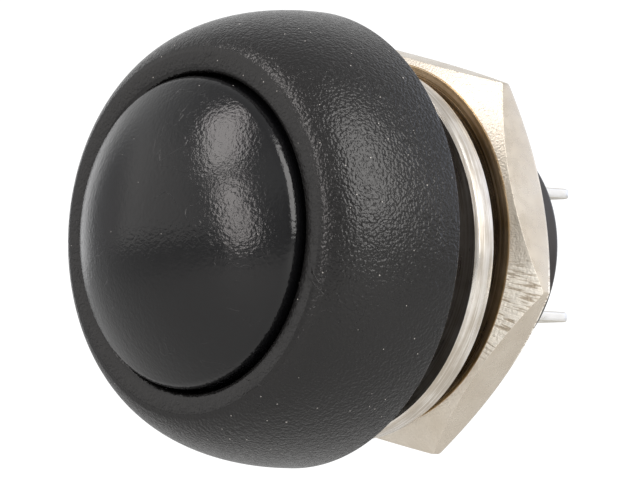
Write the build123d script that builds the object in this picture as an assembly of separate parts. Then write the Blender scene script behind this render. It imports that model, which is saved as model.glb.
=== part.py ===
from build123d import *
import math
import os

# Domed momentary push button for a 12 mm panel hole, with its washer, nut and two solder terminals.
# Millimetres. The button's axis is Y: the dome faces -Y, the terminals point to +Y, and +Z is up.
# The origin is on the axis, in the plane of the bezel's rear face, which seats on the panel's front.

# Head
bezel_radius = 9.0
bezel_height = 5.7
shoulder_centre = 6.8        # radius at which the rounded shoulder's ellipse is centred
shoulder_rise = 5.24         # its half height along the axis, cut short by the flat front ring
rear_land = 0.5              # straight stretch of the outer wall beside the panel
mouth_radius = 6.24
mouth_chamfer = 0.22
pocket_radius = 7.5          # recess in the rear face for the bushing's flange and the panel seal
flange_front = -2.0
flange_rear = -0.9

# Cap
cap_radius = 6.1
cap_proud = 0.43             # from the bezel's front to where the dome meets the skirt, before rounding
dome_rise = 2.27
cap_edge_radius = 0.7
cap_wall = 1.2
cap_ceiling = -6.4
skirt_rear = -3.75
boss_radius = 2.9
boss_rear = -4.4
socket_floor = -7.0

# Bushing, washer and nut
thread_radius = 6.0
thread_end = 7.6
thread_chamfer = 0.35
bushing_bore = 4.9
web_rear = -0.6
washer_front = 2.45
washer_thickness = 1.02
washer_radius = 7.5
washer_bore = 6.35
washer_drop = 0.33           # the loose washer hangs on the thread's top
washer_chamfer = 0.10
nut_front = 4.4
nut_thickness = 2.0
nut_across_flats = 15.0
nut_bore = 6.05
nut_face_radius = 7.25       # flat turned circle on each face, inside the corner chamfer
nut_chamfer_angle = 30.0
nut_mouth_chamfer = 0.35
nut_turn = 14.0              # degrees by which one corner stands below the +X side

# Round-section seals: radius to the section's middle, the section's radius, and its place along Y
panel_seal_size = (6.75, 0.55, -0.35)
plunger_seal_size = (2.5, 0.45, -1.5)
base_seal_size = (4.55, 0.35, 6.65)

# Plunger and its guide
stem_radius = 2.0
guide_radius = 3.2
guide_bore = 2.05
guide_flange_radius = 4.4
guide_flange_front = -2.5
guide_rear = 1.4
seal_recess_radius = 2.95
seal_recess_floor = -1.0
clip_front = 1.45
clip_thickness = 0.40
clip_radius = 2.9
clip_groove_radius = 1.3
clip_mouth_width = 2.08
shoulder_rear = 2.2
pin_radius = 1.1
head_front = 3.82
head_rear = 4.25
head_radius = 1.5

# Springs
seat_thickness = 0.15
seat_bore = 2.3
return_spring_radius = 3.6
return_spring_wire = 0.22    # radius of the wire
return_spring_turns = 3.25
contact_spring_radius = 1.6
contact_spring_wire = 0.12
contact_spring_turns = 2.25

# Contacts and terminals
terminal_offset = 2.5        # each blade's middle, above and below the axis
terminal_width = 2.0
terminal_thickness = 0.4
terminal_end = 14.4
terminal_corner = 0.5
eye_radius = 0.5
eye_position = 13.2
foot_height = 1.5
foot_front = 5.45
base_front = 5.8
pad_radius = 0.7
fixed_pad_front = 5.05
bridge_front = 3.45
bridge_rear = 3.80
bridge_width = 2.4
bridge_half_length = 3.3
bridge_bore = 1.15
bridge_corner = 0.8
moving_pad_rear = 4.10

# Rear body
head_recess_radius = 1.8
head_recess_floor = 6.3
base_radius = 4.75
base_rear = 9.85
base_edge_radius = 0.25
potting_radius = 3.9
potting_floor = 8.6
potting_rear = 9.5
base_groove_front = 6.3
base_groove_rear = 7.0
base_groove_radius = 4.2

through = 1.0                # how far a cutter passes beyond the wall it cuts


def turned(*corners):
    """A solid turned about the Y axis from its half section, given as (radius, y) corners."""
    section = make_face(Polyline(*corners, close=True))
    return revolve(section, axis=Axis.Y)


def ring(inner, outer, front, rear):
    """A plain ring with square edges."""
    return turned((inner, front), (outer, front), (outer, rear), (inner, rear))


def o_ring(centre_radius, section_radius, y):
    """A round-section ring about the Y axis."""
    section = Pos(centre_radius, y) * Circle(section_radius)
    return revolve(section, axis=Axis.Y)


def disc(radius, front, rear, z=0.0):
    """A cylinder along Y, its axis at height z."""
    return Pos(0, (front + rear) / 2, z) * Rot(90, 0, 0) * Cylinder(radius, rear - front)


def block(width, front, rear, low, high):
    """A box centred on X, from front to rear along Y and from low to high along Z."""
    middle = Pos(0, (front + rear) / 2, (low + high) / 2)
    return middle * Box(width, rear - front, high - low)


def spring(centre_radius, wire_radius, turns, front, rear):
    """A compression spring along Y whose wire just touches the planes at its two ends."""
    height = rear - front - 2 * wire_radius
    path = Helix(pitch=height / turns, height=height, radius=centre_radius)
    start = Plane(origin=path @ 0, z_dir=path % 0)
    wire = sweep(start * Circle(wire_radius), path=path, is_frenet=True)
    return Pos(0, rear - wire_radius, 0) * Rot(90, 0, 0) * wire


def bezel_shell():
    """The head's outer shell: flat front ring, rounded shoulder, bore for the cap, rear pocket."""
    front = -bezel_height
    ring_edge = math.degrees(math.asin((bezel_height - rear_land) / shoulder_rise))
    shoulder = EllipticalCenterArc(
        center=(shoulder_centre, -rear_land),
        x_radius=bezel_radius - shoulder_centre,
        y_radius=shoulder_rise,
        start_angle=-ring_edge,
        arc_size=ring_edge,
    )
    wall = Polyline(
        (bezel_radius, -rear_land),
        (bezel_radius, 0),
        (pocket_radius, 0),
        (pocket_radius, flange_front),
        (mouth_radius, flange_front),
        (mouth_radius, front + mouth_chamfer),
        (mouth_radius + mouth_chamfer, front),
        shoulder @ 0,
    )
    return revolve(make_face([shoulder, wall]), axis=Axis.Y)


def dome_point(radius):
    """The point of the dome's arc at this radius."""
    rim = -bezel_height - cap_proud
    sphere = (cap_radius**2 + dome_rise**2) / (2 * dome_rise)
    centre = rim - dome_rise + sphere
    return (radius, centre - math.sqrt(sphere**2 - radius**2))


def button_cap():
    """The domed cap: a shallow sphere on a short skirt, with a socket for the plunger's nose."""
    rim = -bezel_height - cap_proud
    apex = rim - dome_rise
    dome = ThreePointArc((0, apex), dome_point(cap_radius / 2), (cap_radius, rim))
    body = Polyline(
        (cap_radius, rim),
        (cap_radius, skirt_rear),
        (cap_radius - cap_wall, skirt_rear),
        (cap_radius - cap_wall, cap_ceiling),
        (boss_radius, cap_ceiling),
        (boss_radius, boss_rear),
        (stem_radius, boss_rear),
        (stem_radius, socket_floor),
        (0, socket_floor),
        (0, apex),
    )
    cap = revolve(make_face([dome, body]), axis=Axis.Y)
    edges = cap.edges().filter_by(GeomType.CIRCLE)
    rim_edge = edges.filter_by(lambda e: abs(e.center().Y - rim) < 0.01 and e.radius > cap_radius - 0.1)
    return fillet(rim_edge, cap_edge_radius)


def threaded_bushing():
    """The black bushing. Its thread is a plain cylinder at the thread's outer diameter."""
    return turned(
        (pocket_radius, flange_front),
        (pocket_radius, flange_rear),
        (thread_radius, flange_rear),
        (thread_radius, thread_end - thread_chamfer),
        (thread_radius - thread_chamfer, thread_end),
        (bushing_bore, thread_end),
        (bushing_bore, web_rear),
        (guide_radius, web_rear),
        (guide_radius, flange_front),
    )


def panel_washer():
    """The plain washer, lowered by its slack, so that it hangs on the thread."""
    rear = washer_front + washer_thickness
    washer = turned(
        (washer_bore, washer_front),
        (washer_radius - washer_chamfer, washer_front),
        (washer_radius, washer_front + washer_chamfer),
        (washer_radius, rear - washer_chamfer),
        (washer_radius - washer_chamfer, rear),
        (washer_bore, rear),
    )
    return Pos(0, 0, -washer_drop) * washer


def hex_nut():
    """The thin hexagon nut, with both faces chamfered to a turned circle."""
    rear = nut_front + nut_thickness
    corner_radius = nut_across_flats / 2 / math.cos(math.radians(30))
    fall = (corner_radius - nut_face_radius) * math.tan(math.radians(nut_chamfer_angle))
    prism = extrude(RegularPolygon(corner_radius, 6, rotation=-nut_turn), nut_thickness)
    prism = Pos(0, rear, 0) * Rot(90, 0, 0) * prism
    cone_and_bore = turned(
        (nut_bore, nut_front + nut_mouth_chamfer),
        (nut_bore + nut_mouth_chamfer, nut_front),
        (nut_face_radius, nut_front),
        (corner_radius, nut_front + fall),
        (corner_radius, rear - fall),
        (nut_face_radius, rear),
        (nut_bore + nut_mouth_chamfer, rear),
        (nut_bore, rear - nut_mouth_chamfer),
    )
    return prism & cone_and_bore


def plunger_guide():
    """The flanged sleeve that guides the plunger, with a recess for its seal."""
    return turned(
        (seal_recess_radius, guide_flange_front),
        (guide_flange_radius, guide_flange_front),
        (guide_flange_radius, flange_front),
        (guide_radius, flange_front),
        (guide_radius, guide_rear),
        (guide_bore, guide_rear),
        (guide_bore, seal_recess_floor),
        (seal_recess_radius, seal_recess_floor),
    )


def plunger():
    """The stem, with a clip groove, a spring shoulder, and a pin with a head for the bridge."""
    clip_rear = clip_front + clip_thickness
    return turned(
        (0, socket_floor),
        (stem_radius, socket_floor),
        (stem_radius, clip_front),
        (clip_groove_radius, clip_front),
        (clip_groove_radius, clip_rear),
        (stem_radius, clip_rear),
        (stem_radius, shoulder_rear),
        (pin_radius, shoulder_rear),
        (pin_radius, head_front),
        (head_radius, head_front),
        (head_radius, head_rear),
        (0, head_rear),
    )


def retaining_clip():
    """The open ring in the plunger's groove, which stops the plunger on the guide's rear end."""
    clip_rear = clip_front + clip_thickness
    closed = ring(clip_groove_radius, clip_radius, clip_front, clip_rear)
    mouth = block(clip_mouth_width, clip_front - through, clip_rear + through, 0, clip_radius + through)
    return closed - mouth


def contact_bridge():
    """The rounded bar that joins the two fixed contacts."""
    bar = block(bridge_width, bridge_front, bridge_rear, -bridge_half_length, bridge_half_length)
    bar = fillet(bar.edges().filter_by(Axis.Y), bridge_corner)
    return bar - disc(bridge_bore, bridge_front - through, bridge_rear + through)


def contact_base():
    """The rear body: a plug in the bushing, a groove for its seal, and a recess for the potting."""
    base = turned(
        (0, head_recess_floor),
        (head_recess_radius, head_recess_floor),
        (head_recess_radius, base_front),
        (bushing_bore, base_front),
        (bushing_bore, base_groove_front),
        (base_groove_radius, base_groove_front),
        (base_groove_radius, base_groove_rear),
        (bushing_bore, base_groove_rear),
        (bushing_bore, thread_end),
        (base_radius, thread_end),
        (base_radius, base_rear - base_edge_radius),
        (base_radius - base_edge_radius, base_rear),
        (potting_radius, base_rear),
        (potting_radius, potting_floor),
        (0, potting_floor),
    )
    return base - terminal_slots()


def terminal_slots():
    """The two slots that the blades fill."""
    low = terminal_offset - terminal_thickness / 2
    high = terminal_offset + terminal_thickness / 2
    upper = block(terminal_width, base_front - through, base_rear + through, low, high)
    return upper + mirror(upper, about=Plane.XY)


def terminal(side):
    """One solder terminal, side 1 above the axis or -1 below: a blade with a foot and an eye."""
    low = terminal_offset - terminal_thickness / 2
    high = terminal_offset + terminal_thickness / 2
    blade = block(terminal_width, base_front, terminal_end, low, high)
    tips = blade.edges().filter_by(Axis.Z).sort_by(Axis.Y)[-2:]
    blade = fillet(tips, terminal_corner)
    eye = Pos(0, eye_position, terminal_offset) * Cylinder(eye_radius, terminal_thickness + through)
    half_foot = foot_height / 2
    foot = block(
        terminal_width, foot_front, base_front, terminal_offset - half_foot, terminal_offset + half_foot
    )
    upper = blade + foot - eye
    return upper if side > 0 else mirror(upper, about=Plane.XY)


def moving_contacts():
    """The two pads on the bridge, as separate solids."""
    pads = [disc(pad_radius, bridge_rear, moving_pad_rear, side * terminal_offset) for side in (1, -1)]
    return Compound(children=pads)


def main():
    seat_front = guide_flange_front - seat_thickness
    nodes = {
        "bezel_shell": bezel_shell(),
        "button_cap": button_cap(),
        "threaded_bushing": threaded_bushing(),
        "panel_seal": o_ring(*panel_seal_size),
        "panel_washer": panel_washer(),
        "hex_nut": hex_nut(),
        "plunger_guide": plunger_guide(),
        "plunger_seal": o_ring(*plunger_seal_size),
        "plunger": plunger(),
        "retaining_clip": retaining_clip(),
        "spring_seat": ring(seat_bore, guide_flange_radius, seat_front, guide_flange_front),
        "return_spring": spring(
            return_spring_radius, return_spring_wire, return_spring_turns, cap_ceiling, seat_front
        ),
        "contact_spring": spring(
            contact_spring_radius, contact_spring_wire, contact_spring_turns, shoulder_rear, bridge_front
        ),
        "contact_bridge": contact_bridge(),
        "moving_contacts": moving_contacts(),
        "fixed_contact_upper": disc(pad_radius, fixed_pad_front, foot_front, terminal_offset),
        "fixed_contact_lower": disc(pad_radius, fixed_pad_front, foot_front, -terminal_offset),
        "terminal_upper": terminal(1),
        "terminal_lower": terminal(-1),
        "contact_base": contact_base(),
        "base_seal": o_ring(*base_seal_size),
        "potting": disc(potting_radius, potting_floor, potting_rear) - terminal_slots(),
    }
    os.makedirs("parts", exist_ok=True)
    for name, solid in nodes.items():
        export_step(solid, f"parts/{name}.step")


main()
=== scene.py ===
import math

import bmesh
import bpy
from mathutils import Euler, Matrix, Vector


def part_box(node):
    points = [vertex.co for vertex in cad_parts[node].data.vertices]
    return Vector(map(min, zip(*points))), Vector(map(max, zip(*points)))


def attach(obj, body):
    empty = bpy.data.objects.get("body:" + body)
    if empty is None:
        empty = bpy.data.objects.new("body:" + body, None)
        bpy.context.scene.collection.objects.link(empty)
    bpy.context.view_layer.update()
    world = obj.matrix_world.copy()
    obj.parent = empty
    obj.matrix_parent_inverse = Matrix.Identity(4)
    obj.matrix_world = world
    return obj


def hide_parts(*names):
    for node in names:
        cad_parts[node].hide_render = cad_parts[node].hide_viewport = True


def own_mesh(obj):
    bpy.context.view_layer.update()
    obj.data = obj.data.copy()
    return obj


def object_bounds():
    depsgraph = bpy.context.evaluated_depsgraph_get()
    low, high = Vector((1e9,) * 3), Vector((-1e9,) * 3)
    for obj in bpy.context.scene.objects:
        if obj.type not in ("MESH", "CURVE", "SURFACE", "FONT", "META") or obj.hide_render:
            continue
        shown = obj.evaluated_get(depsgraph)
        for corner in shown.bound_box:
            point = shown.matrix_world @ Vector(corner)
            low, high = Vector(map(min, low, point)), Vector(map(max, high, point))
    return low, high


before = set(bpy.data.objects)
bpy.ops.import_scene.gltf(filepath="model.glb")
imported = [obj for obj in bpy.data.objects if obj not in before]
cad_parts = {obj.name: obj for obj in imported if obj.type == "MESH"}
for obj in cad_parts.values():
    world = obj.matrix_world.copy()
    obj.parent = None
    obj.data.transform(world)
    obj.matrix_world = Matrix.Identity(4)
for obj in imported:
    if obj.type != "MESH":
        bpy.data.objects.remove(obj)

CAD_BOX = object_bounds()

# Shapes are worked out in millimetres, with the button's axis along Y, and written to the meshes in metres.
MM = 0.001
STEPS = 192                  # columns round a turned piece
ARC = 6                      # segments in a rounded edge
FINE_STEPS = 256             # columns round the pieces whose rims show most
TERMINAL_OFFSET = 2.5        # each blade's middle, above and below the axis
TERMINAL_THICKNESS = 0.4
PITCH = 0.75                 # of the thread
PITCH_ROWS = 16              # rows of vertices along one pitch of a thread
THREAD_START = -0.9
NUT_FACE_RADIUS = 7.25       # the flat turned circle on each face of the nut


def span(node):
    """Outer radius, front and rear of a CAD node, in millimetres."""
    low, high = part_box(node)
    return (high.x - low.x) / 2 / MM, low.y / MM, high.y / MM


BEZEL_RADIUS, BEZEL_FRONT, SEAT = span("bezel_shell")


# -------------------------------------------- mesh making

def rounded(corners):
    """A closed loop of (radius, y) points. A corner with a third number is rounded to that radius."""
    points = []
    for i, corner in enumerate(corners):
        here = Vector(corner[:2])
        if len(corner) == 2:
            points.append(here)
            continue
        before = (Vector(corners[i - 1][:2]) - here).normalized()
        after = (Vector(corners[(i + 1) % len(corners)][:2]) - here).normalized()
        half = before.angle(after) / 2
        centre = here + (before + after).normalized() * corner[2] / math.sin(half)
        start = here + before * corner[2] / math.tan(half) - centre
        end = here + after * corner[2] / math.tan(half) - centre
        turn = math.pi - 2 * half
        for k in range(ARC + 1):
            share = k / ARC
            mixed = start * math.sin((1 - share) * turn) + end * math.sin(share * turn)
            points.append(centre + mixed / math.sin(turn))
    return points


def place(radius, y, angle):
    """A point at this radius and place along the axis, turned by the right-hand rule about +Y."""
    return Vector((radius * math.cos(angle), y, -radius * math.sin(angle))) * MM


def added(name, data):
    """A new object in the scene."""
    item = bpy.data.objects.new(name, data)
    bpy.context.scene.collection.objects.link(item)
    return item


def finished(name, mesh_builder, sharp=32):
    """An object from a bmesh: doubles merged, normals outward, edges over `sharp` degrees left crisp."""
    bmesh.ops.remove_doubles(mesh_builder, verts=mesh_builder.verts, dist=1e-8)
    bmesh.ops.dissolve_degenerate(mesh_builder, edges=mesh_builder.edges, dist=1e-8)
    bmesh.ops.recalc_face_normals(mesh_builder, faces=mesh_builder.faces)
    mesh = bpy.data.meshes.new(name)
    mesh_builder.to_mesh(mesh)
    mesh_builder.free()
    mesh.shade_smooth()
    mesh.set_sharp_from_angle(angle=math.radians(sharp))
    piece = added(name, mesh)
    normals = piece.modifiers.new("face_weighted_normals", "WEIGHTED_NORMAL")
    normals.keep_sharp = True
    return piece


def turned(name, loop, steps=STEPS):
    """A closed solid turned about Y from a closed loop of (radius, y) points."""
    builder = bmesh.new()
    rings = []
    for radius, y in loop:
        if radius < 1e-6:
            rings.append([builder.verts.new(place(0, y, 0))] * steps)
        else:
            rings.append([builder.verts.new(place(radius, y, math.tau * i / steps)) for i in range(steps)])
    for k, ring in enumerate(rings):
        other = rings[(k + 1) % len(rings)]
        for i in range(steps):
            j = (i + 1) % steps
            corners = list(dict.fromkeys((ring[i], ring[j], other[j], other[i])))
            if len(corners) > 2:
                builder.faces.new(corners)
    return finished(name, builder)


def threaded(name, head, tail, start, end, radius_at, angles, material_of_row=None):
    """A closed solid whose loop runs through `head`, along a right-hand thread, and through `tail`.

    head and tail are lists of functions of the angle that give (radius, y). radius_at(y, angle) is the
    thread's surface from start to end. Its rows follow the helix, so that its crests stay crisp.
    """
    row_height = PITCH / PITCH_ROWS
    base = THREAD_START + math.floor((start - THREAD_START) / row_height) * row_height
    rows = math.ceil((end - base) / row_height) + PITCH_ROWS + 1
    builder = bmesh.new()
    columns = []
    for angle in angles:
        points = [row(angle) for row in head]
        for j in range(rows):
            y = base + row_height * j + PITCH * ((angle - angles[0]) / math.tau - 1)
            y = min(max(y, start), end)
            points.append((radius_at(y, angle), y))
        points += [row(angle) for row in tail]
        columns.append([builder.verts.new(place(radius, y, angle)) for radius, y in points])
    total = len(columns[0])

    def wrapped(k):
        """The row of the first column that meets row k of the last one."""
        if len(head) <= k < len(head) + rows:
            return min(k + PITCH_ROWS, len(head) + rows - 1)
        return k

    for i, column in enumerate(columns):
        last = i == len(columns) - 1
        other = columns[0] if last else columns[i + 1]
        for k in range(total):
            above = (k + 1) % total
            k_other, above_other = (wrapped(k), wrapped(above)) if last else (k, above)
            corners = list(dict.fromkeys((column[k], other[k_other], other[above_other], column[above])))
            if len(corners) > 2 and len({tuple(c.co) for c in corners}) > 2:
                face = builder.faces.new(corners)
                face.material_index = material_of_row(k) if material_of_row else 0
    return finished(name, builder)


def plate(name, outlines, thickness, bevel, turn, middle):
    """A flat stamped piece from closed outlines in millimetres, the first outer and the others holes."""
    curve = bpy.data.curves.new(name, "CURVE")
    curve.dimensions = "2D"
    curve.fill_mode = "BOTH"
    curve.extrude = (thickness / 2 - bevel) * MM
    curve.bevel_depth = bevel * MM
    curve.bevel_resolution = 2
    curve.offset = -bevel * MM
    for outline in outlines:
        line = curve.splines.new("POLY")
        line.points.add(len(outline) - 1)
        for point, (u, v) in zip(line.points, outline):
            point.co = (u * MM, v * MM, 0, 1)
        line.use_cyclic_u = True
    holder = added(name + "_outline", curve)
    bpy.context.view_layer.update()
    flat = bpy.data.meshes.new_from_object(holder.evaluated_get(bpy.context.evaluated_depsgraph_get()))
    bpy.data.objects.remove(holder)
    bpy.data.curves.remove(curve)
    flat.transform(Matrix.Translation(Vector(middle) * MM) @ turn.to_matrix().to_4x4())
    builder = bmesh.new()
    builder.from_mesh(flat)
    bpy.data.meshes.remove(flat)
    bmesh.ops.remove_doubles(builder, verts=builder.verts, dist=1e-7)
    return finished(name, builder)


def wire(name, points, radius, sides=14):
    """A round wire with closed ends along a list of points, all in millimetres."""
    builder = bmesh.new()
    rings = []
    for i, here in enumerate(points):
        ahead = (points[min(i + 1, len(points) - 1)] - points[max(i - 1, 0)]).normalized()
        outward = Vector((here.x, 0, here.z)).normalized()
        side = ahead.cross(outward).normalized()
        outward = side.cross(ahead)
        ring = []
        for k in range(sides):
            angle = math.tau * k / sides
            spoke = outward * math.cos(angle) + side * math.sin(angle)
            ring.append(builder.verts.new((here + spoke * radius) * MM))
        rings.append(ring)
    for ring, other in zip(rings, rings[1:]):
        for k in range(sides):
            j = (k + 1) % sides
            builder.faces.new((ring[k], ring[j], other[j], other[k]))
    builder.faces.new(rings[0])
    builder.faces.new(reversed(rings[-1]))
    return finished(name, builder, sharp=50)


def arc(centre, radius, first, last, steps):
    """Points along a circle from one angle to another."""
    angles = [first + (last - first) * k / steps for k in range(steps + 1)]
    return [(centre[0] + radius * math.cos(a), centre[1] + radius * math.sin(a)) for a in angles]


def circle(radius, centre=(0.0, 0.0), steps=64):
    """A closed circle of points."""
    return arc(centre, radius, 0, math.tau, steps)[:-1]


def rounded_rectangle(low, high, radii, steps=10):
    """A closed rectangle from low to high, with a radius for each corner, counter-clockwise from low."""
    corners = ((low[0], low[1]), (high[0], low[1]), (high[0], high[1]), (low[0], high[1]))
    inward = ((1, 1), (-1, 1), (-1, -1), (1, -1))
    points = []
    for i, (corner, sign, radius) in enumerate(zip(corners, inward, radii)):
        if radius == 0:
            points.append(corner)
            continue
        centre = (corner[0] + sign[0] * radius, corner[1] + sign[1] * radius)
        points += arc(centre, radius, math.pi * (1 + i / 2), math.pi * (1.5 + i / 2), steps)
    return points


# -------------------------------------------- materials

class Shader:
    """A material's node tree, with short calls for the nodes that the materials share."""

    def __init__(self, name, color, roughness, metallic=0.0, **sockets):
        self.material = bpy.data.materials.new(name)
        self.material.use_nodes = True
        self.nodes = self.material.node_tree.nodes
        self.links = self.material.node_tree.links
        self.surface = self.nodes["Principled BSDF"]
        self.surface.inputs["Base Color"].default_value = (*color, 1)
        self.surface.inputs["Roughness"].default_value = roughness
        self.surface.inputs["Metallic"].default_value = metallic
        for socket, value in sockets.items():
            self.surface.inputs[socket.replace("_", " ")].default_value = value
        self.place = self.nodes.new("ShaderNodeTexCoord").outputs["Object"]
        self.height = None

    def feed(self, socket, value):
        """Gives a socket a number, a colour or the value of another socket."""
        if isinstance(value, bpy.types.NodeSocket):
            self.links.new(value, socket)
        else:
            socket.default_value = (*value, 1) if isinstance(value, tuple) else value

    def math(self, operation, *values):
        """A math node on sockets or numbers."""
        node = self.nodes.new("ShaderNodeMath")
        node.operation = operation
        for socket, value in zip(node.inputs, values):
            self.feed(socket, value)
        return node.outputs[0]

    def axes(self):
        """X, Y and Z of the object coordinates, in millimetres."""
        split = self.nodes.new("ShaderNodeSeparateXYZ")
        self.links.new(self.place, split.inputs[0])
        return [self.math("DIVIDE", split.outputs[i], MM) for i in range(3)]

    def radius(self):
        """Distance from the button's axis, in millimetres."""
        x, _, z = self.axes()
        return self.math("SQRT", self.math("ADD", self.math("MULTIPLY", x, x), self.math("MULTIPLY", z, z)))

    def turning(self, across, around):
        """Coordinates in which noise becomes lathe marks: fine across the tool's path, long along it."""
        x, y, z = self.axes()
        vector = self.nodes.new("ShaderNodeCombineXYZ")
        self.links.new(self.math("MULTIPLY", self.radius(), across), vector.inputs[0])
        self.links.new(self.math("MULTIPLY", y, across), vector.inputs[1])
        self.links.new(self.math("MULTIPLY", self.math("ARCTAN2", z, x), around), vector.inputs[2])
        return vector.outputs[0]

    def scaled(self, *factors, shift=(0.0, 0.0, 0.0)):
        """Object coordinates in millimetres, times one factor or one for each axis, then shifted."""
        x, y, z = factors if len(factors) == 3 else factors * 3
        mapping = self.nodes.new("ShaderNodeMapping")
        mapping.inputs["Scale"].default_value = (x / MM, y / MM, z / MM)
        mapping.inputs["Location"].default_value = shift
        self.links.new(self.place, mapping.inputs["Vector"])
        return mapping.outputs[0]

    def noise(self, vector, detail=3.0, roughness=0.55, distortion=0.0):
        """Noise from 0 to 1 on these coordinates."""
        node = self.nodes.new("ShaderNodeTexNoise")
        node.inputs["Scale"].default_value = 1.0
        node.inputs["Detail"].default_value = detail
        node.inputs["Roughness"].default_value = roughness
        node.inputs["Distortion"].default_value = distortion
        self.links.new(vector, node.inputs["Vector"])
        return node.outputs["Fac"]

    def cells(self, vector, output="Distance"):
        """A Voronoi texture on these coordinates: the distance to the nearest point, or its cell's colour."""
        node = self.nodes.new("ShaderNodeTexVoronoi")
        node.inputs["Scale"].default_value = 1.0
        self.links.new(vector, node.inputs["Vector"])
        return node.outputs[output]

    def ranged(self, value, low, high, to_low=0.0, to_high=1.0):
        """Maps low..high smoothly to to_low..to_high, held at the ends."""
        node = self.nodes.new("ShaderNodeMapRange")
        node.interpolation_type = "SMOOTHSTEP"
        for i, number in enumerate((low, high, to_low, to_high)):
            node.inputs[i + 1].default_value = number
        self.links.new(value, node.inputs["Value"])
        return node.outputs["Result"]

    def specks(self, per_mm, size, share, seed=0.0):
        """Small round spots of this size in millimetres in a share of the cells, 1 inside a spot."""
        vector = self.scaled(per_mm, shift=(seed, seed * 1.7, seed * 2.3))
        near = self.ranged(self.cells(vector), size * per_mm * 0.7, size * per_mm, 1.0, 0.0)
        pick = self.nodes.new("ShaderNodeSeparateColor")
        self.links.new(self.cells(vector, output="Color"), pick.inputs[0])
        chosen = self.math("LESS_THAN", pick.outputs[0], share)
        return self.math("MULTIPLY", near, chosen)

    def scratches(self, per_mm, width):
        """Fine curved scratches, 1 in their middle: parts of the lines where warped noise is half."""
        vector = self.scaled(per_mm, per_mm * 1.7, per_mm)
        bent = self.noise(vector, detail=2.0, roughness=0.5, distortion=1.2)
        from_line = self.math("ABSOLUTE", self.math("SUBTRACT", bent, 0.5))
        line = self.ranged(from_line, 0.0, width * per_mm, 1.0, 0.0)
        region = self.noise(self.scaled(per_mm * 0.8), detail=1.0)
        return self.math("MULTIPLY", line, self.ranged(region, 0.56, 0.62))

    def color(self, dark, light, share):
        """Makes the base colour a mix of two."""
        self.links.new(self.mixed(dark, light, share), self.surface.inputs["Base Color"])

    def mixed(self, first, second, share):
        """A mix of two colours, each a tuple or a socket."""
        node = self.nodes.new("ShaderNodeMix")
        node.data_type = "RGBA"
        self.links.new(share, node.inputs["Factor"])
        self.feed(node.inputs[6], first)
        self.feed(node.inputs[7], second)
        return node.outputs[2]

    def rough(self, value):
        """Drives the roughness."""
        self.links.new(value, self.surface.inputs["Roughness"])

    def bump(self, height, depth_mm, strength=1.0):
        """Adds a relief of this depth, over any relief that is there already."""
        node = self.nodes.new("ShaderNodeBump")
        node.inputs["Strength"].default_value = strength
        node.inputs["Distance"].default_value = depth_mm * MM
        self.links.new(height, node.inputs["Height"])
        if self.height is not None:
            self.links.new(self.height, node.inputs["Normal"])
        self.height = node.outputs["Normal"]
        self.links.new(self.height, self.surface.inputs["Normal"])


def bezel_plastic():
    """Charcoal moulded plastic: spark-eroded grain on the shoulder, smoother on the front ring, dust."""
    shader = Shader("bezel_plastic", (0.006, 0.006, 0.006), 0.24, Specular_IOR_Level=0.40)
    ring_grain = 0.25
    grain = shader.noise(shader.scaled(9), detail=1.0, roughness=0.4)
    pits = shader.noise(shader.scaled(5), detail=1.0, roughness=0.5)
    _, y, _ = shader.axes()
    shoulder = shader.ranged(y, BEZEL_FRONT + 0.01, BEZEL_FRONT + 0.10, ring_grain, 1.0)
    shader.bump(shader.math("MULTIPLY", grain, shoulder), 0.039)
    shader.bump(shader.math("MULTIPLY", pits, shoulder), 0.022)
    shader.bump(shader.scratches(0.55, 0.012), 0.020)
    shader.rough(shader.ranged(pits, 0.3, 0.7, 0.19, 0.28))
    cloud = shader.noise(shader.scaled(0.35), detail=4.0)
    body = shader.mixed((0.0045, 0.0043, 0.0043), (0.009, 0.0082, 0.008), cloud)
    coarse, fine = shader.specks(1.1, 0.045, 0.40), shader.specks(2.4, 0.032, 0.45, seed=7.0)
    dust = shader.math("MAXIMUM", coarse, fine)
    shader.color(body, (0.34, 0.32, 0.30), dust)
    return shader.material


def cap_plastic():
    """Glossy black plastic with a slight orange peel, handling marks and a few specks."""
    shader = Shader("cap_plastic", (0.012, 0.012, 0.013), 0.09, Specular_IOR_Level=0.41)
    peel = shader.noise(shader.scaled(3.2), detail=2.0, roughness=0.5)
    ripple = shader.noise(shader.scaled(7), detail=2.0, roughness=0.6)
    shader.bump(peel, 0.008)
    shader.bump(ripple, 0.014)
    shader.bump(shader.scratches(0.4, 0.010), 0.006)
    smear = shader.noise(shader.scaled(0.9, 0.5, 0.7), detail=5.0, roughness=0.65, distortion=0.6)
    shader.rough(shader.ranged(smear, 0.35, 0.75, 0.10, 0.19))
    coarse, fine = shader.specks(0.9, 0.035, 0.22, seed=3.0), shader.specks(2.0, 0.022, 0.16, seed=9.0)
    dust = shader.math("MAXIMUM", coarse, fine)
    shader.color((0.0035, 0.0035, 0.004), (0.40, 0.38, 0.36), dust)
    return shader.material


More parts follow.
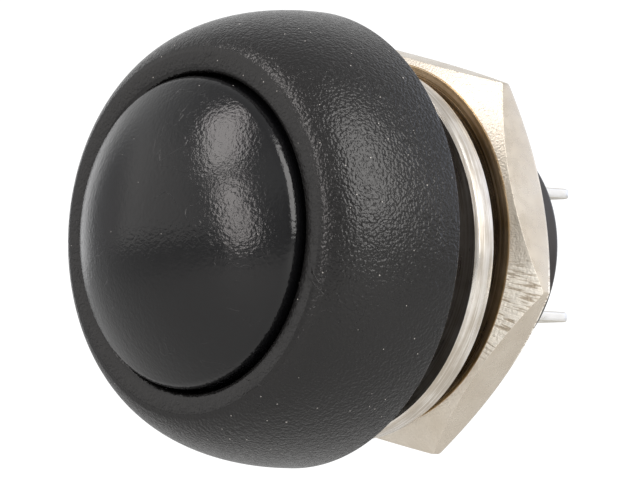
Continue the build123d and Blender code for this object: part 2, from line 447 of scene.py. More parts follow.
def turned_metal(name, dark, light, across, around, depth, rough_low, rough_high, spread):
    """Plated metal with lathe marks, which spread its reflections across themselves.

    The marks have `across` lines to the millimetre and are broken up `around` times a radian. Their depth is
    in millimetres, and spread is how far they stretch a reflection, 0 to 1.
    """
    shader = Shader(name, light, 0.28, metallic=1.0, Anisotropic=spread, Anisotropic_Rotation=0.25)
    tangent = shader.nodes.new("ShaderNodeTangent")
    tangent.direction_type = "RADIAL"
    tangent.axis = "Y"
    shader.links.new(tangent.outputs[0], shader.surface.inputs["Tangent"])
    lines = shader.noise(shader.turning(across, around), detail=3.0, roughness=0.6)
    broad = shader.noise(shader.turning(across * 0.22, around * 1.6), detail=2.0)
    shader.bump(lines, depth)
    shader.rough(shader.ranged(broad, 0.3, 0.7, rough_low, rough_high))
    cloud = shader.noise(shader.scaled(0.5), detail=5.0, roughness=0.6)
    streak = shader.math("MULTIPLY_ADD", shader.math("SUBTRACT", lines, 0.5), 1.3, cloud)
    shader.color(dark, light, shader.ranged(streak, 0.25, 0.75))
    return shader.material


def nut_chamfer():
    """The nut's chamfered corners: grained cream nickel, with marks out from the axis near one corner that
    are painted lighter as a painted highlight, and a painted brown shade where the chamfer meets the face.
    """
    shader = Shader("nut_chamfer", (0.70, 0.64, 0.54), 0.38, metallic=1.0)
    rays = shader.noise(shader.turning(1.4, 75), detail=2.0, roughness=0.5)
    rings = shader.noise(shader.turning(7, 2.0), detail=2.0, roughness=0.5)
    grain = shader.noise(shader.scaled(11), detail=1.0, roughness=0.5)
    x, _, z = shader.axes()
    above_bottom = shader.ranged(z, -5.0, -3.9)
    below_top = shader.ranged(z, -1.6, -0.4, 1.0, 0.0)
    beside_corner = shader.ranged(x, 3.0, 4.0)
    marks_and_painted_highlight_zone = shader.math("MULTIPLY", shader.math("MULTIPLY", above_bottom, below_top), beside_corner)
    marks = shader.math("MULTIPLY", rays, shader.math("MULTIPLY_ADD", marks_and_painted_highlight_zone, 0.90, 0.10))
    shader.bump(marks, 0.055)
    shader.bump(rings, 0.010)
    shader.bump(grain, 0.020)
    cloud = shader.noise(shader.scaled(0.6), detail=5.0, roughness=0.6)
    shader.rough(shader.math("MULTIPLY_ADD", marks_and_painted_highlight_zone, 0.12, shader.ranged(cloud, 0.3, 0.7, 0.38, 0.50)))
    worn = shader.math("MULTIPLY_ADD", shader.math("SUBTRACT", marks, 0.5), 0.5, cloud)
    plated = shader.mixed((0.66, 0.59, 0.49), (0.80, 0.74, 0.65), shader.ranged(worn, 0.0, 0.6))
    # Painted highlight: the streaks in the marked zone are painted up to near white, brighter than the
    # plating, over the real tool marks.
    streaks_and_painted_highlight = shader.mixed((0.58, 0.50, 0.40), (1.0, 0.95, 0.86), shader.ranged(rays, 0.34, 0.50))
    plated = shader.mixed(plated, streaks_and_painted_highlight, marks_and_painted_highlight_zone)
    # Painted shade: a brown band at the chamfer's inner edge carries the face's painted dark brown over the
    # rounding between face and chamfer.
    on_chamfer = shader.ranged(shader.radius(), NUT_FACE_RADIUS - 0.09, NUT_FACE_RADIUS + 0.05)
    shader.color((0.55, 0.40, 0.24), plated, on_chamfer)
    return shader.material


def nut_flats():
    """The nut's sides: drawn bar, with faint lines along the axis and small dents."""
    shader = Shader("nut_flats", (0.66, 0.60, 0.51), 0.30, metallic=1.0)
    lines = shader.noise(shader.scaled(9, 0.8, 9), detail=3.0)
    dents = shader.noise(shader.scaled(2.2), detail=3.0)
    shader.bump(lines, 0.004)
    shader.bump(dents, 0.008, 0.7)
    shader.bump(shader.math("SUBTRACT", 1.0, shader.specks(1.4, 0.07, 0.18, seed=5.0)), 0.02)
    shader.rough(shader.ranged(dents, 0.3, 0.7, 0.22, 0.36))
    cloud = shader.noise(shader.scaled(0.7), detail=3.0, roughness=0.5)
    shader.color((0.65, 0.575, 0.475), (0.72, 0.65, 0.55), shader.ranged(cloud, 0.25, 0.7))
    return shader.material


def tinned_brass():
    """Tin plate on the terminals, slightly uneven, darker along the sheared edges as painted shade for the
    dark things those edges reflect.
    """
    shader = Shader("tinned_brass", (0.82, 0.81, 0.78), 0.34, metallic=1.0)
    pool = shader.noise(shader.scaled(1.6, 0.9, 1.6), detail=4.0, roughness=0.6)
    grain = shader.noise(shader.scaled(14), detail=2.0)
    shader.bump(pool, 0.012, 0.8)
    shader.bump(grain, 0.002)
    shader.rough(shader.ranged(pool, 0.3, 0.7, 0.26, 0.42))
    _, _, z = shader.axes()
    offset = shader.math("SUBTRACT", shader.math("ABSOLUTE", z), TERMINAL_OFFSET)
    from_middle = shader.math("ABSOLUTE", offset)
    plated = shader.mixed((0.78, 0.73, 0.62), (0.90, 0.89, 0.87), shader.ranged(pool, 0.22, 0.45))
    # Painted shade: the colour darkens along the sheared edges, in place of the dark surroundings the rounded
    # edges reflect.
    edge = shader.ranged(from_middle, TERMINAL_THICKNESS / 2 - 0.04, TERMINAL_THICKNESS / 2 - 0.01)
    shader.color(plated, (0.70, 0.66, 0.57), edge)
    return shader.material


def moulded(name, dark, light, roughness, grain_per_mm, depth):
    """Plain moulded plastic or rubber with a fine grain and soft clouding."""
    shader = Shader(name, dark, roughness)
    grain = shader.noise(shader.scaled(grain_per_mm), detail=3.0, roughness=0.6)
    cloud = shader.noise(shader.scaled(0.7), detail=4.0)
    shader.bump(grain, depth, 0.9)
    shader.rough(shader.ranged(cloud, 0.3, 0.7, roughness * 0.85, roughness * 1.15))
    shader.color(dark, light, cloud)
    return shader.material


def metal(name, dark, light, roughness, lines_per_mm, depth):
    """Plain stamped or drawn metal with fine directional lines and soft clouding."""
    shader = Shader(name, light, roughness, metallic=1.0)
    lines = shader.noise(shader.scaled(lines_per_mm, lines_per_mm, lines_per_mm * 0.12), detail=3.0)
    cloud = shader.noise(shader.scaled(1.2), detail=4.0)
    shader.bump(lines, depth)
    shader.rough(shader.ranged(cloud, 0.3, 0.7, roughness * 0.8, roughness * 1.25))
    shader.color(dark, light, cloud)
    return shader.material


MATERIALS = {
    "bezel_plastic": bezel_plastic(),
    "cap_plastic": cap_plastic(),
    "nickel_plate": turned_metal(
        "nickel_turned", (0.56, 0.50, 0.42), (0.86, 0.82, 0.76),
        across=11, around=1.4, depth=0.010, rough_low=0.26, rough_high=0.38, spread=0.50,
    ),
    # The faces' dark brown is partly the plating's own warm tone and partly painted shade for the dark parts
    # the faces reflect.
    "nut_face": turned_metal(
        "nut_face", (0.40, 0.27, 0.13), (0.74, 0.58, 0.40),
        across=9, around=0.35, depth=0.020, rough_low=0.24, rough_high=0.36, spread=0.70,
    ),
    "nut_chamfer": nut_chamfer(),
    "nut_flats": nut_flats(),
    "tinned_brass": tinned_brass(),
    "seal_rubber": moulded("seal_rubber", (0.012, 0.012, 0.012), (0.022, 0.021, 0.021), 0.55, 9, 0.006),
    "natural_acetal": moulded("natural_acetal", (0.72, 0.70, 0.64), (0.80, 0.78, 0.73), 0.35, 7, 0.003),
    "base_plastic": moulded("base_plastic", (0.016, 0.013, 0.012), (0.026, 0.021, 0.019), 0.40, 8, 0.008),
    "potting_epoxy": moulded("potting_epoxy", (0.016, 0.016, 0.018), (0.024, 0.024, 0.027), 0.16, 1.1, 0.030),
    "spring_steel": metal("spring_steel", (0.52, 0.51, 0.49), (0.66, 0.65, 0.63), 0.24, 12, 0.002),
    "contact_brass": metal("contact_brass", (0.68, 0.48, 0.20), (0.80, 0.61, 0.30), 0.27, 12, 0.003),
    "contact_silver": metal("contact_silver", (0.84, 0.82, 0.78), (0.92, 0.91, 0.89), 0.20, 8, 0.002),
}


def keep(piece, body, slot, *nodes, finish=None):
    """Fixes a piece to a body, hides its CAD nodes, and paints it as its slot or with a finish."""
    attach(piece, body)
    if nodes:
        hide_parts(*nodes)
    for name in finish or (slot,):
        piece.data.materials.append(MATERIALS[name])
    return piece


# -------------------------------------------- head

MOUTH_RADIUS = 6.24
SHOULDER_CENTRE = 6.80       # the shoulder is an ellipse centred at this radius
SHOULDER_RISE = 5.24         # its half height along the axis, cut short by the flat front ring
SHOULDER_POINTS = 40
REAR_LAND = 0.50             # straight stretch of the outer wall at the rear
POCKET_RADIUS, FLANGE_FRONT, THREAD_END = span("threaded_bushing")
FLANGE_GAP = 0.002           # by which the pocket is wider than the bushing's flange


def make_bezel():
    """The bezel: a flat front ring, an elliptical shoulder, the cap's bore and the rear pocket."""
    ring_edge = math.asin((-BEZEL_FRONT - REAR_LAND) / SHOULDER_RISE)
    shoulder = []
    for k in range(SHOULDER_POINTS + 1):
        angle = ring_edge * (1 - k / SHOULDER_POINTS)
        radius = SHOULDER_CENTRE + (BEZEL_RADIUS - SHOULDER_CENTRE) * math.cos(angle)
        shoulder.append((radius, -REAR_LAND - SHOULDER_RISE * math.sin(angle)))
    shoulder[0] = (*shoulder[0], 0.16)
    loop = rounded([
        (BEZEL_RADIUS, SEAT, 0.07),
        (POCKET_RADIUS + FLANGE_GAP, SEAT, 0.05),
        (POCKET_RADIUS + FLANGE_GAP, FLANGE_FRONT),
        (MOUTH_RADIUS, FLANGE_FRONT),
        (MOUTH_RADIUS, BEZEL_FRONT, 0.24),
        *shoulder,
    ])
    keep(turned("bezel", loop, steps=FINE_STEPS), "housing", "bezel_plastic", "bezel_shell")


CAP_RADIUS, CAP_APEX, SKIRT_REAR = span("button_cap")
CAP_RIM = BEZEL_FRONT - 0.43  # where the dome would meet the skirt without the rounded edge
CAP_EDGE = 0.70              # radius of that edge
CAP_WALL = 1.2
CAP_CEILING = -6.4
BOSS_RADIUS = 2.9
BOSS_REAR = -4.4
STEM_RADIUS, STEM_FRONT, PIN_REAR = span("plunger")
DOME_POINTS = 48
EDGE_POINTS = 14


def dome_profile():
    """Points from the cap's apex over the dome and round its edge to the skirt."""
    rise = CAP_RIM - CAP_APEX
    sphere = (CAP_RADIUS**2 + rise**2) / (2 * rise)
    sphere_y = CAP_APEX + sphere
    inset = CAP_RADIUS - CAP_EDGE
    touch = math.asin(inset / (sphere - CAP_EDGE))
    edge_y = sphere_y - math.sqrt((sphere - CAP_EDGE) ** 2 - inset**2)
    points = []
    for k in range(DOME_POINTS + 1):
        angle = touch * k / DOME_POINTS
        points.append((sphere * math.sin(angle), sphere_y - sphere * math.cos(angle)))
    for k in range(1, EDGE_POINTS + 1):
        angle = touch + (math.pi / 2 - touch) * k / EDGE_POINTS
        points.append((inset + CAP_EDGE * math.sin(angle), edge_y - CAP_EDGE * math.cos(angle)))
    return points


def make_cap():
    """The domed cap, hollow behind, with a boss that holds the plunger."""
    loop = rounded([
        *dome_profile(),
        (CAP_RADIUS, SKIRT_REAR, 0.10),
        (CAP_RADIUS - CAP_WALL, SKIRT_REAR, 0.10),
        (CAP_RADIUS - CAP_WALL, CAP_CEILING, 0.30),
        (BOSS_RADIUS, CAP_CEILING, 0.30),
        (BOSS_RADIUS, BOSS_REAR, 0.10),
        (STEM_RADIUS, BOSS_REAR, 0.08),
        (STEM_RADIUS, STEM_FRONT),
        (0, STEM_FRONT),
    ])
    keep(turned("cap", loop, steps=FINE_STEPS), "button", "cap_plastic", "button_cap")


# -------------------------------------------- bushing, washer and nut

THREAD_RADIUS = 6.0
THREAD_ROOT = 5.56
THREAD_CHAMFER = 0.40
THREAD_RUNOUT = 0.5          # plain length behind the flange, and the length of the run-out after it
ROOT_FLAT = 0.25             # share of half a pitch at a root that is flat
FLANK = 0.625                # share of half a pitch that a flank takes
BUSHING_BORE = 4.9
WEB_REAR = -0.6
GUIDE_RADIUS = 3.2
NUT_RUNNING_GAP = 0.03


def ridge(y, angle):
    """Height of the external thread's profile here, 0 at the root and 1 at the crest."""
    phase = ((y - THREAD_START) / PITCH - angle / math.tau) % 1
    return min(max((abs(phase - 0.5) * 2 - ROOT_FLAT) / FLANK, 0.0), 1.0)


def bushing_surface(y, angle):
    """The bushing's outer surface: thread, run-out behind the flange, chamfer at the end."""
    runout = min(max((y - THREAD_START) / THREAD_RUNOUT - 1, 0.0), 1.0)
    thread = THREAD_RADIUS - (THREAD_RADIUS - THREAD_ROOT) * (1 - ridge(y, angle)) * runout
    chamfer = THREAD_RADIUS + 0.02 - max(0.0, y - (THREAD_END - THREAD_CHAMFER))
    return min(thread, chamfer)


def fixed_rows(loop):
    """Rows that are the same at every angle."""
    return [lambda angle, point=tuple(point): point for point in loop]


def make_bushing():
    """The bushing with a real thread outside and a plain bore for the rear body."""
    head = rounded([
        (GUIDE_RADIUS, FLANGE_FRONT, 0.05),
        (POCKET_RADIUS, FLANGE_FRONT, 0.10),
        (POCKET_RADIUS, THREAD_START, 0.10),
        (THREAD_RADIUS, THREAD_START),
    ])
    tail = rounded([
        (BUSHING_BORE, THREAD_END, 0.10),
        (BUSHING_BORE, WEB_REAR, 0.20),
        (GUIDE_RADIUS, WEB_REAR, 0.05),
        (GUIDE_RADIUS, FLANGE_FRONT + 0.4),
    ])
    angles = [math.tau * i / STEPS for i in range(STEPS)]
    piece = threaded(
        "bushing", fixed_rows(head), fixed_rows(tail), THREAD_START, THREAD_END, bushing_surface, angles
    )
    keep(piece, "housing", "base_plastic", "threaded_bushing")


WASHER_BORE = 6.35
WASHER_EDGE = 0.11           # chamfer on both edges of the rim
WASHER_CROWN = 0.040         # rise of the rim's middle over its edges
CROWN_STEPS = 8


def make_washer():
    """The loose washer, where the CAD hangs it."""
    radius, front, rear = span("panel_washer")
    low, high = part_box("panel_washer")
    rim_width = rear - front - 2 * WASHER_EDGE
    crown = []
    for k in range(CROWN_STEPS + 1):
        drop = WASHER_CROWN * (2 * k / CROWN_STEPS - 1) ** 2
        crown.append((radius - drop, front + WASHER_EDGE + rim_width * k / CROWN_STEPS))
    loop = rounded([
        (WASHER_BORE, front, 0.10),
        (radius - WASHER_EDGE - WASHER_CROWN, front, 0.03),
        *crown,
        (radius - WASHER_EDGE - WASHER_CROWN, rear, 0.03),
        (WASHER_BORE, rear, 0.10),
    ])
    piece = turned("washer", loop, steps=FINE_STEPS)
    piece.data.transform(Matrix.Translation((0, 0, (low.z + high.z) / 2)))
    keep(piece, "washer", "nickel_plate", "panel_washer")


NUT_HALF_FLATS = 7.5
NUT_TURN = 14.0              # degrees by which one corner stands below +X
NUT_CHAMFER = 30.0           # degrees between a face and its corner chamfer
NUT_CORNER_ROUND = 0.16
NUT_MOUTH = 0.35
NUT_BORE = 6.06
NUT_FRONT_EDGE = 0.006       # tangent length of the rounding between the front corner chamfer and the sides
NUT_REAR_EDGE = 0.11         # the same at the rear
NUT_FACE_EDGE = 0.05         # tangent length of the rounding between a face and its corner chamfer
EDGE_ROWS = 4                # rows of faces over each of these roundings
CONE_ROWS = EDGE_ROWS + 5    # rows of faces from the sides over the corner chamfer


def nut_reach(angle):
    """Distance from the axis to the nut's side in this direction, its corners slightly rounded."""
    from_corner = abs((angle - math.radians(NUT_TURN) + math.pi / 6) % (math.pi / 3) - math.pi / 6)
    centre = (NUT_HALF_FLATS - NUT_CORNER_ROUND) / math.cos(math.pi / 6)
    inside = NUT_CORNER_ROUND**2 - (centre * math.sin(from_corner)) ** 2
    tangent = NUT_CORNER_ROUND * math.sin(math.pi / 6)
    if inside > 0 and centre * math.sin(from_corner) < tangent:
        return centre * math.cos(from_corner) + math.sqrt(inside)
    return NUT_HALF_FLATS / math.cos(math.pi / 6 - from_corner)


def eased(start, corner, end, share):
    """A point on the curve that leaves start towards corner and arrives at end."""
    keep_start, keep_end = (1 - share) ** 2, share**2
    keep_corner = 1 - keep_start - keep_end
    return tuple(keep_start * a + keep_corner * b + keep_end * c for a, b, c in zip(start, corner, end))


def nut_half(face, sign):
    """Rows from the nut's mouth over one face and its corner chamfer to the sides."""
    tilt = math.radians(NUT_CHAMFER)
    slope = math.tan(tilt)
    along = (math.cos(tilt), math.sin(tilt) * sign)
    edge = NUT_FRONT_EDGE if sign > 0 else NUT_REAR_EDGE

    def face_corner(share):
        inner = (NUT_FACE_RADIUS - NUT_FACE_EDGE, face)
        outer = (NUT_FACE_RADIUS + NUT_FACE_EDGE * along[0], face + NUT_FACE_EDGE * along[1])
        return lambda angle: eased(inner, (NUT_FACE_RADIUS, face), outer, share)

    def on_cone(share):
        def row(angle):
            first = NUT_FACE_RADIUS + NUT_FACE_EDGE * along[0]
            last = nut_reach(angle) - edge * along[0]
            radius = first + (last - first) * share
            return radius, face + sign * (radius - NUT_FACE_RADIUS) * slope
        return row

    def side_corner(share):
        def row(angle):
            reach = nut_reach(angle)
            y = face + sign * (reach - NUT_FACE_RADIUS) * slope
            on_chamfer = (reach - edge * along[0], y - edge * along[1])
            on_side = (reach, y + sign * edge)
            return eased(on_chamfer, (reach, y), on_side, share)
        return row

    rows = fixed_rows([(NUT_BORE + NUT_MOUTH, face)])
    rows += [face_corner(k / EDGE_ROWS) for k in range(EDGE_ROWS + 1)]
    rows += [on_cone(k / 5) for k in range(1, 5)]
    rows += [side_corner(k / EDGE_ROWS) for k in range(EDGE_ROWS + 1)]
    return rows


def nut_angles():
    """Angles of the nut's columns: even, but closer together over each rounded corner."""
    corners = [math.radians(NUT_TURN + 60 * k) for k in range(6)]
    fine = [math.radians(d) for d in (-0.62, -0.45, -0.3, -0.15, 0.0, 0.15, 0.3, 0.45, 0.62)]
    clearance = 0.014
    even = {round(math.tau * i / STEPS, 6) for i in range(STEPS)}
    angles = {round((c + f) % math.tau, 6) for c in corners for f in fine}
    for angle in even:
        if min(abs((angle - c + math.pi) % math.tau - math.pi) for c in corners) > clearance:
            angles.add(angle)
    return sorted(angles)


def make_nut():
    """The thin hexagon nut: turned faces, chamfered corners, and a thread in mesh with the bushing's."""
    _, front, rear = span("hex_nut")
    from_rear = nut_half(rear, -1)
    head = from_rear + nut_half(front, 1)[::-1]

    def bore(y, angle):
        """The internal thread, slightly wider than the bushing's and opened by a chamfer at each mouth."""
        groove = THREAD_RADIUS + NUT_RUNNING_GAP
        crest = THREAD_ROOT + NUT_RUNNING_GAP + 0.04
        surface = crest + (groove - crest) * min(1.0, ridge(y, angle) * 1.15)
        mouth = NUT_BORE + NUT_MOUTH - min(y - front, rear - y)
        return max(surface, mouth)

    sides = len(from_rear) - 1

    def finish_of_row(k):
        """Index of a row's material: 0 on the faces and in the bore, 1 on the chamfers, 2 on the sides."""
        if k == sides:
            return 2
        return 1 if abs(k - sides) <= CONE_ROWS else 0

    piece = threaded("nut", head, [], front, rear, bore, nut_angles(), material_of_row=finish_of_row)
    keep(piece, "nut", "nickel_plate", "hex_nut", finish=("nut_face", "nut_chamfer", "nut_flats"))


# -------------------------------------------- rear body and terminals

BASE_RADIUS = 4.75
FIT_GAP = 0.003              # between a fitted piece and its bore
PLUG_RADIUS = BUSHING_BORE - FIT_GAP
PLUG_REAR = THREAD_END - 0.12
HEAD_RECESS_RADIUS = 1.8
HEAD_RECESS_FLOOR = 6.3
GROOVE_RADIUS = 4.2
GROOVE_FRONT = 6.3
GROOVE_REAR = 7.0
CAVITY_RADIUS = 3.9
CAVITY_FLOOR = 8.6


def make_rear_body():
    """The black rear body, stepped where it leaves the bushing, with a groove for its seal."""
    _, front, rear = span("contact_base")
    loop = rounded([
        (0, HEAD_RECESS_FLOOR),
        (HEAD_RECESS_RADIUS, HEAD_RECESS_FLOOR),
        (HEAD_RECESS_RADIUS, front, 0.05),
        (PLUG_RADIUS, front, 0.15),
        (PLUG_RADIUS, GROOVE_FRONT),
        (GROOVE_RADIUS, GROOVE_FRONT),
        (GROOVE_RADIUS, GROOVE_REAR),
        (PLUG_RADIUS, GROOVE_REAR),
        (PLUG_RADIUS, PLUG_REAR),
        (BASE_RADIUS, PLUG_REAR),
        (BASE_RADIUS, rear, 0.28),
        (CAVITY_RADIUS, rear, 0.08),
        (CAVITY_RADIUS, CAVITY_FLOOR),
        (0, CAVITY_FLOOR),
    ])
    keep(turned("rear_body", loop), "housing", "base_plastic", "contact_base")


def make_potting():
    """The epoxy fill, drawn up slightly at the wall."""
    radius, floor, level = span("potting")
    radius -= FIT_GAP
    rise = 0.22
    rise_width = 0.9
    steps = 11
    points = []
    for k in range(steps + 1):
        share = k / steps
        points.append((radius - rise_width * share, level - rise * (1 - (1 - share) ** 2.5)))
    loop = [(0, floor), (radius, floor), *points, (0, level - rise)]
    keep(turned("epoxy", loop), "housing", "potting_epoxy", "potting")


EYE_RADIUS = 0.5
EYE_Y = 13.2
TIP_CORNER = 0.5
FOOT_THICKNESS = 0.35
FOOT_HALF_HEIGHT = 0.75
UPRIGHT = Euler((math.pi / 2, 0, 0))   # puts a plate's thickness along the axis


def make_terminal(name, node, side):
    """A stamped blade with rounded corners and an eye at its tip, and its foot inside the body."""
    low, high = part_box(node)
    half = high.x / MM
    foot_front = low.y / MM
    height = side * TERMINAL_OFFSET
    blade_front = foot_front + FOOT_THICKNESS - 0.02
    outline = rounded_rectangle((-half, blade_front), (half, high.y / MM), (0, 0, TIP_CORNER, TIP_CORNER))
    hole = circle(EYE_RADIUS, (0, EYE_Y))
    blade = plate(name, [outline, hole], TERMINAL_THICKNESS, 0.10, Euler((0, 0, 0)), (0, 0, height))
    foot = plate(
        name + "_foot",
        [rounded_rectangle((-half, -FOOT_HALF_HEIGHT), (half, FOOT_HALF_HEIGHT), (0.1,) * 4)],
        FOOT_THICKNESS, 0.04, UPRIGHT, (0, foot_front + FOOT_THICKNESS / 2, height),
    )
    keep(blade, "housing", "tinned_brass", node)
    keep(foot, "housing", "tinned_brass")


# -------------------------------------------- inside

GUIDE_BORE = 2.05
SEAL_RECESS_RADIUS = 2.95
SEAL_RECESS_FLOOR = -1.0
CLIP_GROOVE_RADIUS = 1.3
CLIP_FRONT = 1.45
CLIP_REAR = 1.85
SPRING_SHOULDER = 2.2
PIN_RADIUS = 1.1
PIN_HEAD_RADIUS = 1.5
PIN_HEAD_FRONT = 3.82
SEAT_BORE = 2.3
BRIDGE_BORE = 1.15
PAD_RADIUS = 0.7
PAD_CROWN = 0.06             # how far a pad's face falls back at its edge
COIL_STEPS = 48              # points along one turn of a spring
SIDES = (("upper", 1), ("lower", -1))


def make_ring(name, node, section):
    """A rubber ring of this section radius in the place of its node."""
    radius, front, rear = span(node)
    middle = (front + rear) / 2
    loop = [(radius - section + u, middle + v) for u, v in circle(section, steps=32)]
    keep(turned(name, loop), "housing", "seal_rubber", node)


def make_guide():
    """The plunger's flanged sleeve."""
    radius, front, rear = span("plunger_guide")
    loop = rounded([
        (SEAL_RECESS_RADIUS, front, 0.06),
        (radius, front, 0.10),
        (radius, FLANGE_FRONT, 0.06),
        (GUIDE_RADIUS, FLANGE_FRONT),
        (GUIDE_RADIUS, rear, 0.15),
        (GUIDE_BORE, rear, 0.10),
        (GUIDE_BORE, SEAL_RECESS_FLOOR),
        (SEAL_RECESS_RADIUS, SEAL_RECESS_FLOOR),
    ])
    keep(turned("guide", loop), "housing", "natural_acetal", "plunger_guide")


def make_plunger():
    """The plunger: stem, clip groove, spring shoulder and headed pin."""
    loop = rounded([
        (0, STEM_FRONT),
        (STEM_RADIUS, STEM_FRONT, 0.06),
        (STEM_RADIUS, CLIP_FRONT),
        (CLIP_GROOVE_RADIUS, CLIP_FRONT),
        (CLIP_GROOVE_RADIUS, CLIP_REAR),
        (STEM_RADIUS, CLIP_REAR),
        (STEM_RADIUS, SPRING_SHOULDER, 0.08),
        (PIN_RADIUS, SPRING_SHOULDER),
        (PIN_RADIUS, PIN_HEAD_FRONT),
        (PIN_HEAD_RADIUS, PIN_HEAD_FRONT, 0.08),
        (PIN_HEAD_RADIUS, PIN_REAR, 0.15),
        (0, PIN_REAR),
    ])
    keep(turned("stem", loop, steps=96), "button", "natural_acetal", "plunger")


def make_clip():
    """The open retaining ring."""
    radius, front, rear = span("retaining_clip")
    outer_gap = 0.34
    inner_gap = math.asin(0.8)
    top, round_again = math.pi / 2, math.pi * 2.5
    outer = arc((0, 0), radius, top + outer_gap, round_again - outer_gap, 48)
    inner = arc((0, 0), CLIP_GROOVE_RADIUS, round_again - inner_gap, top + inner_gap, 32)
    clip = plate("clip", [outer + inner], rear - front, 0.04, UPRIGHT, (0, (front + rear) / 2, 0))
    keep(clip, "button", "spring_steel", "retaining_clip")


def coil(front, rear, radius, wire_radius, turns, closed):
    """Points of a coil, with `closed` of a turn at each end close against the next turn."""
    first, last = front + wire_radius, rear - wire_radius
    closed_pitch = 2 * wire_radius * 0.9
    open_length = last - first - closed_pitch * 2 * closed
    count = int(turns * COIL_STEPS)
    points = []
    for k in range(count + 1):
        turn = turns * k / count
        share = min(max((turn - closed) / (turns - 2 * closed), 0.0), 1.0)
        closed_turns = min(turn, closed) + max(0.0, turn - (turns - closed))
        y = first + closed_pitch * closed_turns + open_length * share
        angle = math.tau * turn
        points.append(Vector((radius * math.cos(angle), y, -radius * math.sin(angle))))
    return points


def make_spring(name, node, body, mean_radius, wire_radius, turns):
    """A compression spring coiled from the front to the rear of its node."""
    _, front, rear = span(node)
    piece = wire(name, coil(front, rear, mean_radius, wire_radius, turns, closed=0.75), wire_radius)
    keep(piece, body, "spring_steel", node)
    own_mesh(piece)


def make_contacts():
    """The bridge, its two pads, and the two fixed pads."""
    low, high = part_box("contact_bridge")
    half_x, half_z = high.x / MM, high.z / MM
    thickness = (high.y - low.y) / MM
    outline = rounded_rectangle((-half_x, -half_z), (half_x, half_z), (half_x * 0.66,) * 4)
    middle = (0, (low.y + high.y) / 2 / MM, 0)
    bar = plate("bridge", [outline, circle(BRIDGE_BORE)], thickness, 0.04, UPRIGHT, middle)
    keep(bar, "bridge", "contact_brass", "contact_bridge")
    _, front, rear = span("moving_contacts")
    pads = [button_pad(f"bridge_pad_{side}", rear, front, sign) for side, sign in SIDES]
    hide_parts("moving_contacts")
    for pad in pads:
        keep(pad, "bridge", "contact_silver")
    for side, sign in SIDES:
        _, front, rear = span(f"fixed_contact_{side}")
        pad = button_pad(f"fixed_pad_{side}", front, rear, sign)
        keep(pad, "housing", "contact_silver", f"fixed_contact_{side}")


def button_pad(name, face, back, sign):
    """A contact pad with a slightly crowned face."""
    crown = PAD_CROWN if back > face else -PAD_CROWN
    loop = rounded([
        (0, face),
        (PAD_RADIUS / 2, face + crown * 0.25),
        (PAD_RADIUS, face + crown, 0.05),
        (PAD_RADIUS, back),
        (0, back),
    ])
    piece = turned(name, loop, steps=48)
    piece.data.transform(Matrix.Translation((0, 0, sign * TERMINAL_OFFSET * MM)))
    return piece


def make_inside():
    """Everything that the head, the bushing and the rear body hide."""
    make_ring("panel_ring", "panel_seal", 0.55)
    make_ring("stem_ring", "plunger_seal", 0.45)
    make_ring("base_ring", "base_seal", 0.35)
    make_guide()
    make_plunger()
    make_clip()
    radius, front, rear = span("spring_seat")
    edge = 0.03
    loop = rounded([(SEAT_BORE, front, edge), (radius, front, edge), (radius, rear), (SEAT_BORE, rear)])
    keep(turned("seat_ring", loop), "housing", "spring_steel", "spring_seat")
    make_spring(
        "main_spring", "return_spring", "housing",
        mean_radius=3.6, wire_radius=0.22, turns=4.0,
    )
    make_spring(
        "bridge_spring", "contact_spring", "button",
        mean_radius=1.6, wire_radius=0.12, turns=3.5,
    )
    make_contacts()


make_bezel()
make_cap()
make_bushing()
make_washer()
make_nut()
make_rear_body()
make_potting()
make_terminal("upper_blade", "terminal_upper", 1)
make_terminal("lower_blade", "terminal_lower", -1)
make_inside()


# -------------------------------------------- camera, light and floor

AZIMUTH = 46.2               # degrees from -Y towards +X
ELEVATION = -3.1
ROLL = 0.75
DISTANCE = 300.0
LENS = 429.0
AIM_RIGHT = 0.830            # from the origin to the picture's middle, along the camera's right
FLOOR_DROP = 40.0            # from the object's lowest point to the floor


def camera_axes():
    """Right, up and back of the camera before its roll."""
    a, e = math.radians(AZIMUTH), math.radians(ELEVATION)
    back = Vector((math.sin(a) * math.cos(e), -math.cos(a) * math.cos(e), math.sin(e)))
    right = Vector((math.cos(a), math.sin(a), 0))
    return right, back.cross(right), back


def make_camera():
    """The camera at the object's three-quarter view."""
    right, up, back = camera_axes()
    data = bpy.data.cameras.new("camera")
    data.lens = LENS
    data.sensor_width = 36.0
    data.clip_start, data.clip_end = 0.01, 10.0
    camera = added("camera", data)
    camera.location = (right * AIM_RIGHT + back * DISTANCE) * MM
    turn = Matrix((right, up, back)).transposed() @ Matrix.Rotation(math.radians(ROLL), 3, "Z")
    camera.rotation_euler = turn.to_euler()
    bpy.context.scene.camera = camera


def softbox(name, direction, upright, distance, width, height, radiance, color):
    """A rectangular light facing the object. Its direction and upright side are along the camera's axes."""
    axes = Matrix(camera_axes()).transposed()
    toward = (axes @ Vector(direction)).normalized()
    tall = axes @ Vector(upright)
    tall = (tall - toward * tall.dot(toward)).normalized()
    data = bpy.data.lights.new(name, "AREA")
    data.shape = "RECTANGLE"
    data.size, data.size_y = width * MM, height * MM
    data.energy = radiance * math.pi * data.size * data.size_y
    data.color = color
    light = added(name, data)
    light.location = toward * distance * MM
    light.rotation_euler = Matrix((tall.cross(toward), tall, toward)).transposed().to_euler()
    light.visible_camera = False


BASE_LEVEL = (0.86, 0.86, 0.86)        # of the surround, where no patch changes it


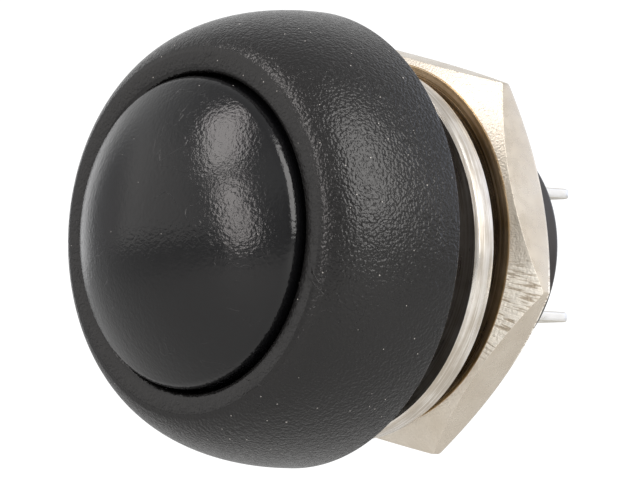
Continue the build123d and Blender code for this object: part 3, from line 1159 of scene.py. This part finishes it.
def make_world():
    """A white surround, brighter behind the object and beside it, and dimmer where the walls end."""
    right, up, back = camera_axes()
    world = bpy.data.worlds.new("surround")
    world.use_nodes = True
    nodes, links = world.node_tree.nodes, world.node_tree.links
    direction = nodes.new("ShaderNodeTexCoord").outputs["Generated"]
    level = None

    def patch(toward, wide, narrow, *tint):
        """Multiplies the level by a tint near a direction: within `narrow` degrees, fading out to `wide`."""
        nonlocal level
        along = nodes.new("ShaderNodeVectorMath")
        along.operation = "DOT_PRODUCT"
        along.inputs[1].default_value = toward.normalized()
        links.new(direction, along.inputs[0])
        ramp = nodes.new("ShaderNodeMapRange")
        ramp.data_type = "FLOAT_VECTOR"
        ramp.interpolation_type = "SMOOTHSTEP"
        # inputs 7 to 10 are From Min, From Max, To Min and To Max of the vector form
        ramp.inputs[7].default_value = (math.cos(math.radians(wide)),) * 3
        ramp.inputs[8].default_value = (math.cos(math.radians(narrow)),) * 3
        ramp.inputs[9].default_value = (1, 1, 1)
        ramp.inputs[10].default_value = tint
        links.new(along.outputs["Value"], ramp.inputs["Vector"])
        product = nodes.new("ShaderNodeVectorMath")
        product.operation = "MULTIPLY"
        product.inputs[0].default_value = BASE_LEVEL
        if level is not None:
            links.new(level, product.inputs[0])
        links.new(ramp.outputs["Vector"], product.inputs[1])
        level = product.outputs[0]

    # the backdrop and its left end
    patch(-back, 14, 5, 1.32, 1.32, 1.32)
    patch(-back * 0.90 - right * 0.43, 18, 7, 1.15, 1.15, 1.16)
    # the dim room on the camera's side, and the ceiling
    patch(back, 36, 16, 0.62, 0.62, 0.62)
    patch(up, 62, 28, 0.74, 0.74, 0.75)
    # the left wall, and the gap between it and the backdrop
    patch(-right - back * 0.05, 44, 20, 1.44, 1.41, 1.39)
    patch(-right * 0.79 + up * 0.08 - back * 0.60, 24, 8, 0.48, 0.48, 0.49)
    # the right wall: bluish at the rear, warmer beside the object, dim towards the camera
    patch(right * 0.80 + up * 0.15 - back * 0.58, 40, 16, 1.20, 1.27, 1.46)
    patch(right * 0.95 - up * 0.02 + back * 0.10, 38, 12, 1.18, 1.16, 1.13)
    patch(right * 0.55 - up * 0.20 + back * 0.70, 50, 25, 0.78, 0.78, 0.77)
    links.new(level, nodes["Background"].inputs["Color"])
    bpy.context.scene.world = world


def make_floor():
    """A wide pale floor, well below the object, which is held by its panel hole."""
    builder = bmesh.new()
    bmesh.ops.create_grid(builder, x_segments=1, y_segments=1, size=3.0)
    mesh = bpy.data.meshes.new("floor")
    builder.to_mesh(mesh)
    builder.free()
    floor = added("floor", mesh)
    floor.location.z = CAD_BOX[0].z - FLOOR_DROP * MM
    shader = Shader("pale_floor", (0.61, 0.61, 0.60), 0.6)
    cloud = shader.noise(shader.scaled(0.004), detail=2.0)
    shader.color((0.59, 0.59, 0.58), (0.63, 0.63, 0.62), cloud)
    floor.data.materials.append(shader.material)


make_camera()
LEFT_UPRIGHT = (0.017, 0.757, -0.653)  # the long way of both left softboxes
softbox("left_upper", (-0.632, 0.690, 0.353), LEFT_UPRIGHT, 245, 78, 124, 5.9, (1.0, 0.95, 0.93))
softbox("left_lower", (-0.632, 0.222, 0.742), LEFT_UPRIGHT, 245, 54, 136, 5.8, (1.0, 0.94, 0.92))
softbox("right_softbox", (0.60, 0.53, 0.60), (0.0, 1.0, 0.0), 260, 150, 290, 4.8, (1.0, 0.98, 0.96))
make_world()
make_floor()
bpy.context.scene.view_settings.view_transform = "Standard"
